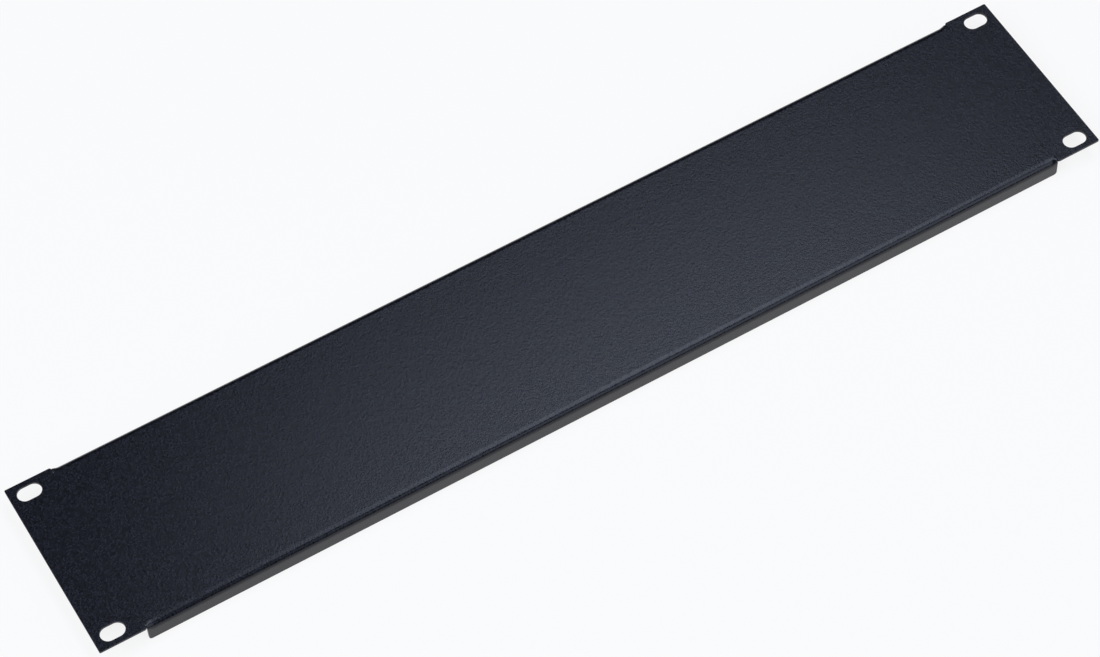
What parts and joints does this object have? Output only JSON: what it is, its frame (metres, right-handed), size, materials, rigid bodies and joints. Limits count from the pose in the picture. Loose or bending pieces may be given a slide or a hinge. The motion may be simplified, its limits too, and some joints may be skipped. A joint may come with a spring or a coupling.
{
  "type": "rack blanking panel",
  "caption": "Flat steel filler panel for an empty space in an equipment rack, with stiffening flanges folded back along its long sides and slotted ears at its ends.",
  "frame": {"origin": "middle of the footprint, level with the free edges of the two flanges that the panel lies on", "axes": "+X along the panel's length, +Y up its height as fitted in a rack, +Z out of its front face"},
  "size_m": [0.4826, 0.0882, 0.0095],
  "materials": {
    "powder_coat": "blue-black powder coat, semi-matt with a very fine grain"
  },
  "bodies": {
    "root": {"panel": "powder_coat"}
  },
  "joints": []
}
